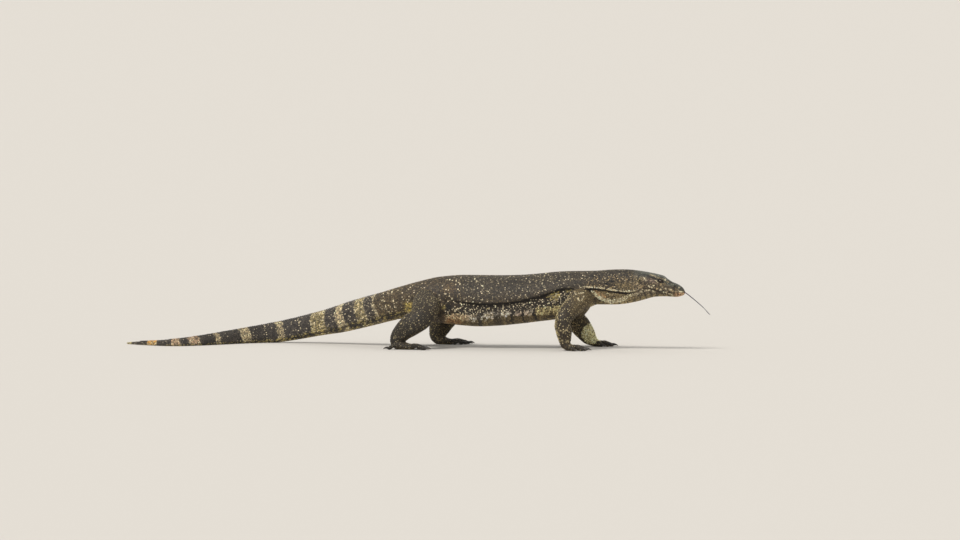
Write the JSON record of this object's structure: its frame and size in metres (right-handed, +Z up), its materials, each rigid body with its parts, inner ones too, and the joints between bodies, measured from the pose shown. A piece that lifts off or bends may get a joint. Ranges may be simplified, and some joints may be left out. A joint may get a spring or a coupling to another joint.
{
  "type": "nile monitor lizard",
  "caption": "Life-size walking nile monitor: long bent tail with a toothed crest, four clawed legs, forked tongue out.",
  "frame": {"origin": "centre of the box round the whole animal, on the floor that the feet and tail rest on", "axes": "+X towards the snout, +Y to the animal's left, +Z up"},
  "size_m": [1.3776, 0.3436, 0.183],
  "materials": {
    "skin": "dark scaly skin, slightly satin",
    "head_skin": "olive scaly skin, slightly satin",
    "tail_skin": "dark ringed scaly skin, slightly satin",
    "eye": "wet gloss",
    "claw": "horn, satin",
    "tongue": "moist, blue-black"
  },
  "bodies": {
    "root": {"arm_left": "skin", "arm_right": "skin", "claw_foot_left_1": "claw", "claw_foot_left_2": "claw", "claw_foot_left_3": "claw", "claw_foot_left_4": "claw", "claw_foot_left_5": "claw", "claw_foot_right_1": "claw", "claw_foot_right_2": "claw", "claw_foot_right_3": "claw", "claw_foot_right_4": "claw", "claw_foot_right_5": "claw", "claw_hand_left_1": "claw", "claw_hand_left_2": "claw", "claw_hand_left_3": "claw", "claw_hand_left_4": "claw", "claw_hand_left_5": "claw", "claw_hand_right_1": "claw", "claw_hand_right_2": "claw", "claw_hand_right_3": "claw", "claw_hand_right_4": "claw", "claw_hand_right_5": "claw", "eye_left": "eye", "eye_right": "eye", "foot_left": "skin", "foot_right": "skin", "forearm_left": "skin", "forearm_right": "skin", "hand_left": "skin", "hand_right": "skin", "head": "head_skin", "lower_jaw": "head_skin", "neck": "head_skin", "shank_left": "skin", "shank_right": "skin", "tail_base": "tail_skin", "tail_middle": "tail_skin", "tail_rear": "tail_skin", "tail_tip": "tail_skin", "thigh_left": "skin", "thigh_right": "skin", "tongue": "tongue", "torso": "skin"}
  },
  "joints": []
}
